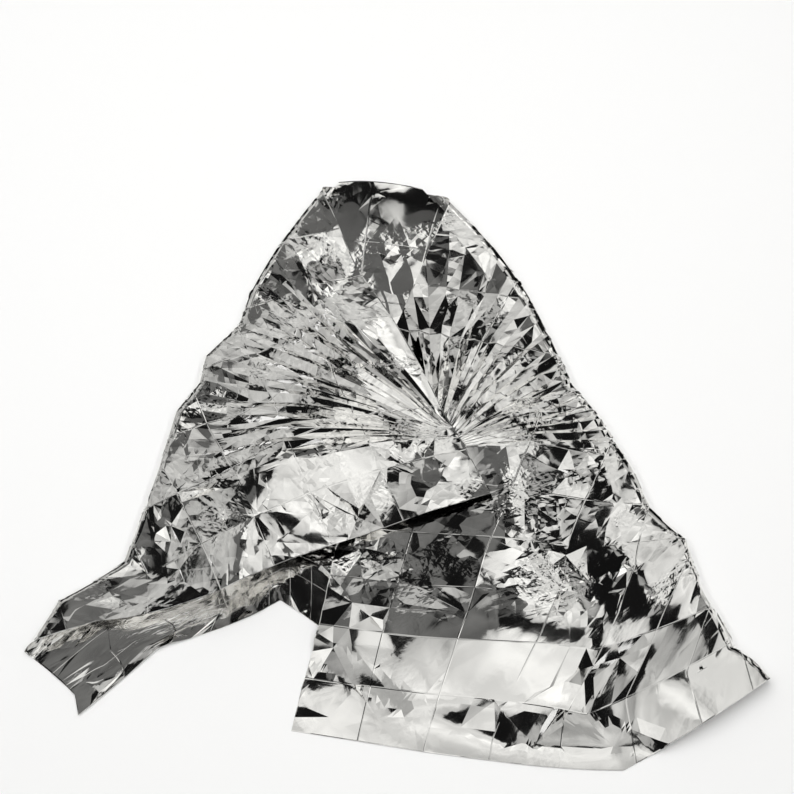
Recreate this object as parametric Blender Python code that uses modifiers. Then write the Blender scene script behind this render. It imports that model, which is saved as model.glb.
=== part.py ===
"""Emergency foil blanket, lying on its back as it comes off the shoulders.

One rectangular sheet of metallised film. Its long top edge passes behind the neck, and its two
halves are folded across the front: the right panel first, then the left panel over it. The sheet
keeps the creases of the pack it was folded into, small dents where those creases cross, the fans
of pleats that spread from the place where it was held shut, and its loft.

Units are metres, +Z up. The origin is under the middle of the sheet's outline, on the floor.
The sheet's own coordinates are s, along the long edge with 0 behind the neck, and t, from the
neck edge down. Around the neck the sheet is a flattened cone, so both are read as a radius and
an angle about an apex just above the neck edge.
"""

import math

import bpy
import numpy as np
from mathutils import Vector, geometry

# The flat sheet and the pack it was folded into
LONG_SIDE = 2.13
SHORT_SIDE = 1.32
LEFT_HALF = 0.84  # long edge from behind the neck to the left panel's corner
RIGHT_HALF = LONG_SIDE - LEFT_HALF
COLUMNS = 20
ROWS = 10
COLUMN_PITCH = LONG_SIDE / COLUMNS
ROW_PITCH = SHORT_SIDE / ROWS
FILM = 0.0016  # thickness of the solid that stands for the film

# Where the sheet lies
APEX = 0.11  # the cone's apex above the neck edge
NECK_X = -0.0515  # the point behind the neck, in the part's frame
NECK_Y = 0.618

# The two long folds: angle in the flat sheet, angle as it lies, and how much of its angle the
# panel beyond it keeps
FOLDS = {
    "right": {"sheet_deg": 49.0, "lying_deg": 28.0, "panel_keeps": 1.00},
    "left": {"sheet_deg": 40.0, "lying_deg": 30.5, "panel_keeps": 1.07},
}
FOLD_RADIUS_NECK = 0.015
FOLD_RADIUS_HEM = 0.019
SHOULDER_SPREAD = {"left": 0.32, "right": 0.85}  # widening of the outline below the neck
SHOULDER_REACH = {"left": 0.45, "right": 0.56}
SHOULDER_AT = 0.20  # radius where the shoulders are widest
SIDE_RAMP = (-0.35, 0.70)  # lying angle over which the left shoulder passes into the right one
FLARE_DEG = 4.5  # the right fold's turn outwards as it nears the floor's edge of the sheet
FLARE_WIDTH_DEG = 12.0
FLARE_FROM = 1.25
FLARE_LENGTH = 0.40
# How far the outline is turned outwards about the apex, at each radius: the shoulders are drawn in,
# and the film bulges over the flap on the right and over the tail on the left
OUTLINE = {
    "left": {
        "radius": (0.30, 0.42, 0.49, 0.59, 0.65, 0.73, 0.87, 1.00, 1.06, 1.19),
        "turn_deg": (-2.5, -3.3, -4.5, -1.5, -2.6, -1.4, -2.9, -3.9, -4.3, -0.5),
    },
    "right": {
        "radius": (0.30, 0.49, 0.64, 0.72, 0.87, 0.97, 1.07, 1.15, 1.23, 1.31, 1.42),
        "turn_deg": (-2.4, -3.6, -3.1, -1.1, 1.1, 1.7, 4.0, 3.6, 1.6, -0.8, 0.2),
    },
}
OUTLINE_RAMP = (0.0, 0.50)  # lying angle over which the turn fades in

# How far the lower edge is drawn up, under the front panels and round the right fold, at angles
# of the flat sheet
LOWER_EDGE = {
    "sheet_deg": (-40, -36, -32, -24, -10, 0, 12, 24, 34, 41, 46, 49, 60, 74, 86),
    "drawn_up": (0.0, 0.08, 0.16, 0.25, 0.29, 0.24, 0.19, 0.20, 0.25, 0.28, 0.23, 0.18, 0.04, 0.02, 0.01),
}
DRAWING_UP_STARTS = 0.45  # share of the way down

# Loft of the layers. A pair named ..._RAMP says where a smooth rise starts and how long it is
OVER_BACK = 0.016  # middle of the right panel's film above the floor where the back is under it
OVER_RIGHT = 0.024  # left panel above the right one
OVER_RIGHT_AT_EDGE = 0.010
LOFTS = {
    "right": {"rise": 0.070, "from_fold": 0.22, "near_neck": 0.35},
    "left": {"rise": 0.078, "from_fold": 0.24, "near_neck": 0.40},
}
NECK_RAMP = (0.25, 0.35)  # radius from which the panels reach their full loft
FOLD_SETTLES = 0.16  # distance over which a panel comes down from its fold to the layer below
RIGHT_TOP_RAMP = (-0.03, 0.38)  # from the right panel's neck edge
RIGHT_LOWER_RAMP = (-0.02, 0.30)  # from its lower edge
LEFT_TOP = 0.35  # share of the left panel's loft that it has at its neck edge
LEFT_TOP_RAMP = (0.0, 0.20)
LEFT_LOWER = 0.26  # share that it has at its lower edge, near the neck edge
LEFT_LOWER_MORE = 0.36  # and how much more, further down
LEFT_LOWER_MORE_RAMP = (0.16, 0.34)
LEFT_LOWER_RAMP = (0.0, 0.25)
EDGE_RAMPS = {"top": (0.0, 0.06), "lower": (0.0, 0.09)}  # the left panel's distance over the right
RIGHT_UNDER_RAMP = (-0.10, 0.09)
HEM_STEP_RAMP = (0.012, 0.075)  # the right panel's step down past the back's hem
COLLAR_LIFT = 0.022
COLLAR_DEPTH = 0.07
LAPEL_RIDGE = 0.022  # height of the first crease along the left panel's free edge
LAPEL_WIDTH = 0.095
LAPEL_RAMP = (0.24, 0.10)
SWELLS = (  # broad waves of the front panels
    {"height": 0.0090, "per_s": 9.0, "per_t": 5.0, "phase": 0.6},
    {"height": 0.0063, "per_s": -6.0, "per_t": 14.0, "phase": 1.9},
)
SWELL_LOFT = 0.03  # loft from which the waves have their full height

# The fans of pleats: centre in sheet coordinates, and the sweep of angles from the direction of
# the neck towards the hem
FANS = {
    "left": {"s": -0.700, "t": 0.0, "to_neck": 1, "from_deg": 9, "to_deg": 84, "pleats": 14},
    "right": {"s": 0.690, "t": 0.130, "to_neck": -1, "from_deg": -36, "to_deg": 78, "pleats": 18},
}
PLEAT_RADII = (0.06, 0.13, 0.21, 0.31, 0.42, 0.53)
PLEAT_RISE = 0.034  # pleat height as a share of the distance from the fan's centre, at most
PLEAT_UNEVEN = 0.30
PLEAT_PEAK = 0.20
PLEAT_FADES = 0.24
PLEAT_END = 0.53
PLEAT_LEAST = 0.50  # height of the lowest pleat as a share of the highest
FAN_RIM = 0.06  # share of a fan's angle over which its first and last pleats die out

# Relief of the pack creases and of the dents where they cross
CREASE_RISE = {
    "right": {"column": 0.0085, "row": 0.0030},
    "left": {"column": 0.0055, "row": 0.0035},
    "back": {"column": 0.0030, "row": 0.0025},
}
CREASE_SPREAD = 0.0035
FAN_CALM = {"within": 0.45, "over": 0.35, "least": 0.25}  # pack creases are pulled flat in a fan
# The right panel's lower bands are flat from side to side and tilt alike, two by two
LOWER_BANDS = {
    "crease": (15, 16, 17, 18, 19, 20),
    "rise": (-0.0085, -0.0020, -0.0020, 0.0080, -0.0020, 0.0020),
}
BAND_RAMP = (15.5, 2.0)  # crease from which the rows count for less
BAND_ROWS = 0.25
HIDDEN_SHARE = 0.22
COVER_MARGIN = 0.045
COVER_RIM = 0.075
FOLD_SMOOTH = 0.06  # distance from a long fold over which the relief fades in
FLOOR_SMOOTH = {"over": 0.012, "least": 0.35}  # and the height over the floor
# Dents where the film has popped in: each is a triangle with its base along a column crease or
# close to one and its apex a way off, in cells of the pack counted from the left panel's corner
DENT_COLUMNS = ("base_column", "from_row", "to_row", "apex_column", "apex_row", "depth")
DENTS = (
    (19.00, 3.25, 4.28, 18.35, 3.85, 0.016),
    (19.00, 4.32, 5.45, 18.30, 4.55, 0.016),
    (19.60, 3.65, 4.70, 19.05, 3.97, 0.014),
    (19.50, 2.45, 3.50, 19.05, 2.80, 0.010),
    (19.65, 0.50, 1.30, 19.05, 0.80, 0.014),
    (19.10, 0.10, 0.80, 18.40, 0.30, 0.013),
    (18.30, 0.60, 1.30, 17.70, 0.75, 0.012),
    (17.50, 0.45, 1.95, 16.60, 0.60, 0.018),
    (17.00, 2.55, 3.45, 16.15, 3.00, 0.011),
    (18.00, 2.50, 3.50, 17.10, 3.05, 0.011),
    (15.20, 2.20, 3.00, 14.35, 2.70, 0.012),
    (14.00, 3.60, 4.50, 13.30, 4.10, 0.010),
    (1.00, 3.00, 4.30, 1.90, 3.50, 0.013),
    (2.00, 4.00, 4.90, 1.35, 4.45, 0.011),
    (1.00, 1.00, 2.00, 0.35, 1.50, 0.014),
    (3.00, 1.10, 2.40, 2.40, 1.70, 0.013),
    (1.00, 0.08, 0.92, 0.42, 0.50, -0.010),
    (2.70, 5.00, 5.90, 2.10, 5.45, 0.012),
    (19.20, 6.10, 7.00, 18.50, 6.50, 0.008),
    (8.00, 7.60, 8.40, 7.40, 8.00, 0.006),
)
DENT_ON_BACK = 0.6  # the back lies flat, so its dents are shallower
RIPPLE = 0.0035
RIPPLE_PITCH = 0.052
RIPPLE_REACH = 0.05
RIPPLE_RAMP = (0.75, 0.10)

# Points along each crease, per cell
POINTS_PER_CELL = 2
FOLD_STATION = 0.085
FOLD_TURNS = (-1.0, -0.5, 0.0, 0.5, 1.0, 1.9)  # rows of points round a fold, in half turns of it
MERGE = 0.0015


def ease(x):
    """0 below 0, 1 above 1, and smooth between."""
    x = np.clip(x, 0.0, 1.0)
    return x * x * (3 - 2 * x)


def ramp(value, start_and_length):
    """0 up to the start, 1 past the length after it, and smooth between."""
    start, length = start_and_length
    return ease((value - start) / length)


def at_least(least, share):
    """The share, squeezed between a least share and 1."""
    return least + (1 - least) * share


def scatter(i, j, salt):
    """A repeatable number from -1 to 1 for a pair of whole numbers."""
    value = np.sin(np.asarray(i) * 12.9898 + np.asarray(j) * 78.233 + salt * 37.719) * 43758.5453
    return 2 * (value - np.floor(value)) - 1


def soft_max(a, b, width=0.012):
    """The larger of two heights, rounded over where they meet."""
    return 0.5 * (a + b + np.sqrt((a - b) ** 2 + width**2))


def polar(s, t):
    """Radius and angle of a sheet point about the cone's apex."""
    return np.hypot(s, t + APEX), np.arctan2(s, t + APEX)


def fold_radius(rho):
    return FOLD_RADIUS_NECK + (FOLD_RADIUS_HEM - FOLD_RADIUS_NECK) * ease((rho - 0.3) / 0.7)


def angles(side):
    """The fold's angle in the sheet and lying, in radians, and the share the panel keeps."""
    fold = FOLDS[side]
    return math.radians(fold["sheet_deg"]), math.radians(fold["lying_deg"]), fold["panel_keeps"]


def hem_radius(phi):
    """Distance from the apex to the sheet's border at an angle of the flat sheet."""
    to_hem = (SHORT_SIDE + APEX) / np.cos(np.clip(phi, -1.4, 1.4))
    half = np.where(phi > 0, RIGHT_HALF, LEFT_HALF)
    to_side = half / np.maximum(np.abs(np.sin(phi)), 1e-6)
    return np.minimum(to_hem, to_side)


def drawn_radius(rho, phi):
    """Radius at which a point lies, with the lower edge drawn up."""
    drawn = np.interp(np.degrees(phi), LOWER_EDGE["sheet_deg"], LOWER_EDGE["drawn_up"])
    along = (rho / hem_radius(phi) - DRAWING_UP_STARTS) / (1 - DRAWING_UP_STARTS)
    return rho * (1 - drawn * ease(along))


def flare(rho, phi):
    """Extra lying angle about the right fold, which bends outwards near the hem."""
    from_fold = (np.degrees(phi) - FOLDS["right"]["sheet_deg"]) / FLARE_WIDTH_DEG
    return math.radians(FLARE_DEG) * ease((rho - FLARE_FROM) / FLARE_LENGTH) * np.exp(-from_fold**2)


def across(rho, phi):
    """Lying radius and angle, share of the way round each fold, and the panel's name code.

    The code is 1 on the right panel, -1 on the left panel and 0 on the back."""
    bend = math.pi * fold_radius(rho) / 2 / rho
    right_sheet, right_lying, right_keeps = angles("right")
    left_sheet, left_lying, left_keeps = angles("left")
    back_from, back_to = bend - left_sheet, right_sheet - bend
    back = -left_lying + (phi - back_from) * (left_lying + right_lying) / (back_to - back_from)
    turn_right = np.clip((phi - right_sheet) / bend, -1, 1)
    turn_left = np.clip((-phi - left_sheet) / bend, -1, 1)
    radius_share = fold_radius(rho) / rho
    lying = np.where(phi > back_to, right_lying + radius_share * np.cos(turn_right * math.pi / 2), back)
    beyond = right_lying - right_keeps * (phi - right_sheet - bend)
    lying = np.where(phi > right_sheet + bend, beyond, lying)
    around = -left_lying - radius_share * np.cos(turn_left * math.pi / 2)
    lying = np.where(phi < back_from, around, lying)
    beyond = -left_lying + left_keeps * (-phi - left_sheet - bend)
    lying = np.where(phi < -left_sheet - bend, beyond, lying)
    lying = lying + flare(rho, phi)
    panel = np.where(phi > right_sheet, 1, np.where(phi < -left_sheet, -1, 0))
    return drawn_radius(rho, phi), lying, turn_right, turn_left, panel


def sheet_point(side, radius, lying):
    """The sheet point of a front panel that lies at this radius and angle."""
    fold_sheet, fold_lying, keeps = angles(side)
    bend = math.pi * fold_radius(radius) / 2 / radius
    sign = 1 if side == "right" else -1
    phi = sign * (fold_sheet + bend + (fold_lying - sign * lying) / keeps)
    return radius * np.sin(phi), radius * np.cos(phi) - APEX


def covered_by(side, radius, lying, beyond=0.0):
    """1 where a front panel, or a rim of the given width round it, lies over this place."""
    s, t = sheet_point(side, radius, lying)
    half = RIGHT_HALF if side == "right" else LEFT_HALF
    reach = half - np.abs(s)
    return ease((t + beyond) / COVER_MARGIN) * ease((reach + beyond) / COVER_MARGIN)


def back_is_under(radius, lying):
    """1 where the back lies under this place, 0 past its hem."""
    right_sheet, right_lying, _ = angles("right")
    left_sheet, left_lying, _ = angles("left")
    share = np.clip((lying + left_lying) / (left_lying + right_lying), 0, 1)
    phi = -left_sheet + share * (left_sheet + right_sheet)
    hem = drawn_radius(hem_radius(phi) * 0.999, phi)
    return 1 - ramp(radius - hem, HEM_STEP_RAMP)


def swell(s, t):
    """Broad waves of a front panel."""
    return sum(
        wave["height"] * np.sin(wave["per_s"] * s + wave["per_t"] * t + wave["phase"])
        for wave in SWELLS
    )


def panel_loft(side, radius, from_fold):
    """Loft of a front panel far from its edges."""
    loft = LOFTS[side]
    from_neck = at_least(loft["near_neck"], ramp(radius, NECK_RAMP))
    return loft["rise"] * ease(from_fold / loft["from_fold"]) * from_neck


def settled(radius, from_fold, rest):
    """Height of a panel without loft, which comes down from its fold to the height of rest."""
    fold_top = FILM / 2 + 2 * fold_radius(radius)
    return fold_top + (rest - fold_top) * ease(from_fold / FOLD_SETTLES)


def right_height(s, t, radius, lying):
    """Height of the right panel's film."""
    from_fold = radius * np.maximum(angles("right")[1] - lying, 0.0)
    loft = panel_loft("right", radius, from_fold)
    loft = loft * ramp(t, RIGHT_TOP_RAMP) * ramp(RIGHT_HALF - s, RIGHT_LOWER_RAMP)
    rest = FILM / 2 + OVER_BACK * back_is_under(radius, lying)
    return settled(radius, from_fold, rest) + loft + swell(s, t) * ease(loft / SWELL_LOFT)


def left_height(s, t, radius, lying):
    """Height of the left panel's film, kept above the right panel."""
    from_fold = radius * np.maximum(lying + angles("left")[1], 0.0)
    lower = LEFT_HALF + s
    at_lower_edge = LEFT_LOWER + LEFT_LOWER_MORE * ramp(t, LEFT_LOWER_MORE_RAMP)
    loft = panel_loft("left", radius, from_fold) * at_least(at_lower_edge, ramp(lower, LEFT_LOWER_RAMP))
    base = settled(radius, from_fold, FILM / 2 + OVER_BACK)
    waves = swell(s, t) * ease(loft / SWELL_LOFT)
    free = base + loft * at_least(LEFT_TOP, ramp(t, LEFT_TOP_RAMP)) + waves
    right_s, right_t = sheet_point("right", radius, lying)
    right = right_height(right_s, np.maximum(right_t, 0.0), radius, lying)
    from_edges = ramp(t, EDGE_RAMPS["top"]) * ramp(lower, EDGE_RAMPS["lower"])
    over = OVER_RIGHT_AT_EDGE + (OVER_RIGHT - OVER_RIGHT_AT_EDGE) * from_edges
    raised = soft_max(free, right + over)
    lapel = LAPEL_RIDGE * np.clip(1 - np.abs(t - LAPEL_WIDTH) / LAPEL_WIDTH, 0, 1)
    return free + (raised - free) * ramp(right_t, RIGHT_UNDER_RAMP) + lapel * ramp(radius, LAPEL_RAMP)


def shoulder(side, radius):
    """How much wider than a plain cone the sheet lies, on one side of the neck."""
    return SHOULDER_SPREAD[side] * np.exp(-((radius - SHOULDER_AT) / SHOULDER_REACH[side]) ** 2)


def outline_turn(radius, lying):
    """How far a place is turned about the apex by the unevenness of the outline."""
    turned = 0.0
    for side, sign in (("right", 1), ("left", -1)):
        degrees = np.interp(radius, OUTLINE[side]["radius"], OUTLINE[side]["turn_deg"])
        turned = turned + sign * np.radians(degrees) * ramp(sign * lying, OUTLINE_RAMP)
    return turned


def lie(s, t):
    """Where a point of the sheet lies, without its creases. s and t are arrays."""
    rho, phi = polar(s, t)
    radius, lying, turn_right, turn_left, panel = across(rho, phi)
    turn = np.where(phi > 0, turn_right, turn_left)
    bend_radius = fold_radius(rho)
    around_fold = FILM / 2 + bend_radius * (1 + np.sin(turn * math.pi / 2))
    in_v = (1 - covered_by("right", radius, lying)) * (1 - covered_by("left", radius, lying))
    collar = COLLAR_LIFT * in_v * np.exp(-np.maximum(t, 0.0) / COLLAR_DEPTH)
    z = np.where(turn > -1, around_fold, FILM / 2 + collar)
    z = np.where((panel == 1) & (turn >= 1), right_height(s, t, radius, lying), z)
    z = np.where((panel == -1) & (turn >= 1), left_height(s, t, radius, lying), z)
    lying = lying + outline_turn(radius, lying)
    to_right = ramp(lying, SIDE_RAMP)
    spread = 1 + shoulder("left", radius) * (1 - to_right) + shoulder("right", radius) * to_right
    x = NECK_X + radius * np.sin(lying) * spread
    y = NECK_Y + APEX - radius * np.cos(lying)
    return np.stack([x, y, z], axis=-1)


def outward(s, t):
    """Unit normals of the lying sheet, up on the front panels and down on the back."""
    step = 0.002
    along_s = lie(s + step, t) - lie(s - step, t)
    along_t = lie(s, t + step) - lie(s, t - step)
    normal = np.cross(along_s, along_t)
    return normal / np.maximum(np.linalg.norm(normal, axis=-1, keepdims=True), 1e-12)


def crossing_height(k, j, panel):
    """Relief where pack crease k across the long side meets crease j across the short side."""
    rise = CREASE_RISE[panel]
    bands = np.interp(k, LOWER_BANDS["crease"], LOWER_BANDS["rise"])
    columns = np.where(k < LOWER_BANDS["crease"][0], rise["column"] * (-1.0) ** k, bands)
    across_bands = rise["row"] * (-1.0) ** j + CREASE_SPREAD * scatter(k, j, 1)
    return columns + across_bands * (1 - (1 - BAND_ROWS) * ramp(k, BAND_RAMP))


def crease_relief(s, t, panel):
    """Relief of the pack creases: straight between crossings."""
    u = np.clip((s + LEFT_HALF) / COLUMN_PITCH, 0, COLUMNS - 1e-6)
    v = np.clip(t / ROW_PITCH, 0, ROWS - 1e-6)
    k, j = np.floor(u), np.floor(v)
    du, dv = u - k, v - j
    near = crossing_height(k, j, panel) * (1 - du) + crossing_height(k + 1, j, panel) * du
    far = crossing_height(k, j + 1, panel) * (1 - du) + crossing_height(k + 1, j + 1, panel) * du
    return near * (1 - dv) + far * dv


def fan_polar(fan, s, t):
    """Distance from a fan's centre, and angle from the neck's direction towards the hem."""
    towards_neck = (s - fan["s"]) * fan["to_neck"]
    down = t - fan["t"]
    return np.hypot(towards_neck, down), np.degrees(np.arctan2(down, towards_neck))


def pleat_angles(fan):
    """Angles of a fan's ridges and valleys, a little unevenly spaced."""
    number = np.arange(2 * fan["pleats"] + 1)
    step = (fan["to_deg"] - fan["from_deg"]) / (2 * fan["pleats"])
    return fan["from_deg"] + step * (number + PLEAT_UNEVEN * scatter(number, fan["pleats"], 9))


def pleat_relief(fan, s, t):
    """Sharp pleats that spread from a fan's centre, deepest part of the way out."""
    r, angle = fan_polar(fan, s, t)
    share = (angle - fan["from_deg"]) / (fan["to_deg"] - fan["from_deg"])
    ridges = pleat_angles(fan)
    phase = np.interp(angle, ridges, np.arange(len(ridges)) / 2)
    wave = 1 - 4 * np.abs((phase % 1.0) - 0.5)
    uneven = at_least(PLEAT_LEAST, (1 + scatter(np.floor(phase), 0, 5)) / 2)
    fading = 1 - ramp(r, (PLEAT_FADES, PLEAT_END - PLEAT_FADES))
    rise = PLEAT_RISE * PLEAT_PEAK * ease(r / PLEAT_PEAK) * fading
    inside = ease(share / FAN_RIM) * ease((1 - share) / FAN_RIM)
    return wave * rise * uneven * inside


def fan_calm(fan, s, t):
    """How much of the pack creases' relief is left near a fan."""
    inside = ease((FAN_CALM["within"] - fan_polar(fan, s, t)[0]) / FAN_CALM["over"])
    return at_least(FAN_CALM["least"], 1 - inside)


def relief(s, t):
    """Height of the creases and pleats along the outward normal."""
    rho, phi = polar(s, t)
    radius, lying, _, _, panel = across(rho, phi)
    hidden_right = covered_by("left", radius, lying)
    hidden_back = np.maximum(*(covered_by(side, radius, lying, COVER_RIM) for side in FOLDS))
    front = {}
    for side, fan in FANS.items():
        creases = crease_relief(s, t, side) * fan_calm(fan, s, t)
        front[side] = creases + pleat_relief(fan, s, t)
    ripple = RIPPLE * np.sin(2 * math.pi * s / RIPPLE_PITCH) * np.exp(-t / RIPPLE_REACH)
    right = front["right"] + ripple * ramp(s, RIPPLE_RAMP)
    right = right * at_least(HIDDEN_SHARE, 1 - hidden_right)
    back = np.maximum(crease_relief(s, t, "back"), 0.0) * (1 - hidden_back)
    from_right = ease((phi - angles("right")[0]) * rho / FOLD_SMOOTH)
    from_left = ease((-phi - angles("left")[0]) * rho / FOLD_SMOOTH)
    value = np.where(panel == 1, right * from_right, -back)
    value = np.where(panel == -1, front["left"] * from_left, value)
    over_floor = ease((lie(s, t)[..., 2] - FILM / 2) / FLOOR_SMOOTH["over"])
    return np.where(panel == 0, value, value * at_least(FLOOR_SMOOTH["least"], over_floor))


def lines_of_pack():
    """The pack's creases and the sheet's border, each as a row of sheet points."""
    lines = []
    steps = ROWS * POINTS_PER_CELL
    for k in range(COLUMNS + 1):
        s = -LEFT_HALF + k * COLUMN_PITCH
        lines.append([(s, SHORT_SIDE * i / steps) for i in range(steps + 1)])
    steps = COLUMNS * POINTS_PER_CELL
    for j in range(ROWS + 1):
        t = j * ROW_PITCH
        lines.append([(-LEFT_HALF + LONG_SIDE * i / steps, t) for i in range(steps + 1)])
    return lines


def lines_of_folds():
    """Rows of points along each long fold, spread over its bend."""
    lines = []
    for side, sign in (("right", 1), ("left", -1)):
        fold_sheet = angles(side)[0]
        half = RIGHT_HALF if side == "right" else LEFT_HALF
        longest = min((SHORT_SIDE + APEX) / math.cos(fold_sheet), half / math.sin(fold_sheet))
        shortest = APEX / math.cos(fold_sheet)
        steps = round((longest - shortest) / FOLD_STATION)
        for turn in FOLD_TURNS:
            line = []
            for i in range(-1, steps + 2):
                rho = shortest + (longest - shortest) * i / steps
                phi = fold_sheet + turn * math.pi * float(fold_radius(rho)) / 2 / rho
                line.append((sign * rho * math.sin(phi), rho * math.cos(phi) - APEX))
            lines.append(clipped(line))
    return lines


def lines_of_pleats():
    """The ridges and valleys of both fans."""
    lines = []
    for fan in FANS.values():
        for angle in pleat_angles(fan):
            across_fan, down_fan = math.cos(math.radians(angle)), math.sin(math.radians(angle))
            line = [
                (fan["s"] + fan["to_neck"] * r * across_fan, fan["t"] + r * down_fan)
                for r in PLEAT_RADII
            ]
            lines.append(clipped(line))
    return lines


def clipped(line):
    """The points of a line that are on the sheet, with its ends brought to the border."""
    found = []
    for a, b in zip(line, line[1:]):
        ends = clip_segment(a, b)
        if ends:
            found.extend(ends if not found else ends[1:])
    return found


def clip_segment(a, b):
    """The part of a segment that is on the sheet, or None."""
    low, high = 0.0, 1.0
    for axis, least, most in ((0, -LEFT_HALF, RIGHT_HALF), (1, 0.0, SHORT_SIDE)):
        step = b[axis] - a[axis]
        if abs(step) < 1e-12:
            if not least <= a[axis] <= most:
                return None
            continue
        ends = sorted(((least - a[axis]) / step, (most - a[axis]) / step))
        low, high = max(low, ends[0]), min(high, ends[1])
    if low >= high:
        return None
    return [tuple(a[i] + (b[i] - a[i]) * share for i in (0, 1)) for share in (low, high)]


def dents():
    """The dents' base and apex as sheet points, with their depths."""
    found = []
    for row in DENTS:
        dent = dict(zip(DENT_COLUMNS, row))
        base_s = -LEFT_HALF + dent["base_column"] * COLUMN_PITCH
        apex = (-LEFT_HALF + dent["apex_column"] * COLUMN_PITCH, dent["apex_row"] * ROW_PITCH)
        ends = [(base_s, dent[end] * ROW_PITCH) for end in ("from_row", "to_row")]
        found.append({"base": ends, "apex": apex, "depth": dent["depth"]})
    return found


def triangulate(lines, found_dents):
    """Sheet points and triangles whose edges follow the lines and the dents."""
    points, edges, index = [], [], {}

    def number(point):
        key = (round(point[0] / MERGE), round(point[1] / MERGE))
        if key not in index:
            index[key] = len(points)
            points.append(Vector(point))
        return index[key]

    def join(line):
        numbers = [number(point) for point in line]
        edges.extend((a, b) for a, b in zip(numbers, numbers[1:]) if a != b)

    for line in lines:
        join(line)
    for dent in found_dents:
        start, end = dent["base"]
        join((start, dent["apex"], end, start))
    made = geometry.delaunay_2d_cdt(points, edges, [], 0, MERGE / 3)
    return np.array([tuple(p) for p in made[0]]), [tuple(face) for face in made[2]]


def dent_relief(s, t, found_dents):
    """Depth of the dents at their apexes, which are points of the sheet."""
    value = np.zeros_like(s)
    for dent in found_dents:
        at_apex = np.hypot(s - dent["apex"][0], t - dent["apex"][1]) < 2 * MERGE
        value[at_apex] = -dent["depth"]
    return value


def placed(s, t, found_dents):
    """The sheet's points as they lie, creases and all, and never under the floor."""
    panel = across(*polar(s, t))[4]
    dent = dent_relief(s, t, found_dents)
    height = relief(s, t) + np.where(panel == 0, DENT_ON_BACK * dent, dent)
    at = lie(s, t) + outward(s, t) * height[:, None]
    at[:, 2] = np.maximum(at[:, 2], FILM / 2)
    return at


def film_material():
    """Bright metallised film."""
    material = bpy.data.materials.new("silver_film")
    material.use_nodes = True
    shader = material.node_tree.nodes["Principled BSDF"]
    shader.inputs["Base Color"].default_value = (0.86, 0.87, 0.86, 1)
    shader.inputs["Metallic"].default_value = 1.0
    shader.inputs["Roughness"].default_value = 0.16
    return material


def build_blanket(collection):
    found_dents = dents()
    lines = lines_of_pack() + lines_of_folds() + lines_of_pleats()
    flat, triangles = triangulate(lines, found_dents)
    corners = placed(flat[:, 0], flat[:, 1], found_dents)
    mesh = bpy.data.meshes.new("blanket")
    mesh.from_pydata([tuple(p) for p in corners], [], triangles)
    mesh.update()
    blanket = bpy.data.objects.new("blanket", mesh)
    blanket.data.materials.append(film_material())
    collection.objects.link(blanket)
    film = blanket.modifiers.new("film", "SOLIDIFY")
    film.thickness = FILM
    film.offset = 0
    return blanket


def main():
    for obj in list(bpy.data.objects):
        bpy.data.objects.remove(obj)
    collection = bpy.data.collections.new("foil_blanket")
    bpy.context.scene.collection.children.link(collection)
    build_blanket(collection)


main()
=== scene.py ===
"""Looks of the emergency foil blanket, lying on its back on a pale floor.

The sheet is shaped by the same folds, creases and pleats as the solid in the frame, at a finer
grain: more points along each crease, small crumples, and facets that bow a little between their
creases. The film is a mirror, so a studio of softboxes gives it its tones. Units are metres.
"""

import math

import bpy
import numpy as np
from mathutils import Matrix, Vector, geometry


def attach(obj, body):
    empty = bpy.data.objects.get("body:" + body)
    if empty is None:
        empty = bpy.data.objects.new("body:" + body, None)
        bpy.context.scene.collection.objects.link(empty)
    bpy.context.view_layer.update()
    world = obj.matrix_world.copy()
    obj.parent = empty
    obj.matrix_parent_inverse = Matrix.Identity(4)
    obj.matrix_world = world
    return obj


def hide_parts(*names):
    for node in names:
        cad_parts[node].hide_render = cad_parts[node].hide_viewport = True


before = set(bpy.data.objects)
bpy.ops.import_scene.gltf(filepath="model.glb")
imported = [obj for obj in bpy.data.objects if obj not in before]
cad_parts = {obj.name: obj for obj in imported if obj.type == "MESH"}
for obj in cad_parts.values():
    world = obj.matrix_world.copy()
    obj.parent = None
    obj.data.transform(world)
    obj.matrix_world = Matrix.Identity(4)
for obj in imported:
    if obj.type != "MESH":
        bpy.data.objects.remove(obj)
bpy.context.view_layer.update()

# The flat sheet and the pack it was folded into
LONG_SIDE = 2.13
SHORT_SIDE = 1.32
LEFT_HALF = 0.84  # long edge from behind the neck to the left panel's corner
RIGHT_HALF = LONG_SIDE - LEFT_HALF
COLUMNS = 20
ROWS = 10
COLUMN_PITCH = LONG_SIDE / COLUMNS
ROW_PITCH = SHORT_SIDE / ROWS
FILM = 0.0016  # thickness of the solid that stands for the film

# Where the sheet lies
APEX = 0.11  # the cone's apex above the neck edge
WIDEST = 1.4  # radians; a line from the apex at this angle or wider ends at a short side
NECK_X = -0.0515  # the point behind the neck, in the part's frame
NECK_Y = 0.618

# The two long folds: angle in the flat sheet, angle as it lies, and how much of its angle the
# panel beyond it keeps
FOLDS = {
    "right": {"sheet_deg": 49.0, "lying_deg": 28.0, "panel_keeps": 1.00},
    "left": {"sheet_deg": 40.0, "lying_deg": 30.5, "panel_keeps": 1.07},
}
FOLD_RADIUS_NECK = 0.015
FOLD_RADIUS_HEM = 0.019
FOLD_RADIUS_RAMP = (0.3, 0.7)
SHOULDER_SPREAD = {"left": 0.32, "right": 0.85}  # widening of the outline below the neck
SHOULDER_REACH = {"left": 0.45, "right": 0.56}
SHOULDER_AT = 0.20  # radius where the shoulders are widest
SIDE_RAMP = (-0.35, 0.70)  # lying angle over which the left shoulder passes into the right one
FLARE_DEG = 4.5  # how far the right fold turns outwards as it nears the hem
FLARE_WIDTH_DEG = 12.0
FLARE_FROM = 1.25
FLARE_LENGTH = 0.40
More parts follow.
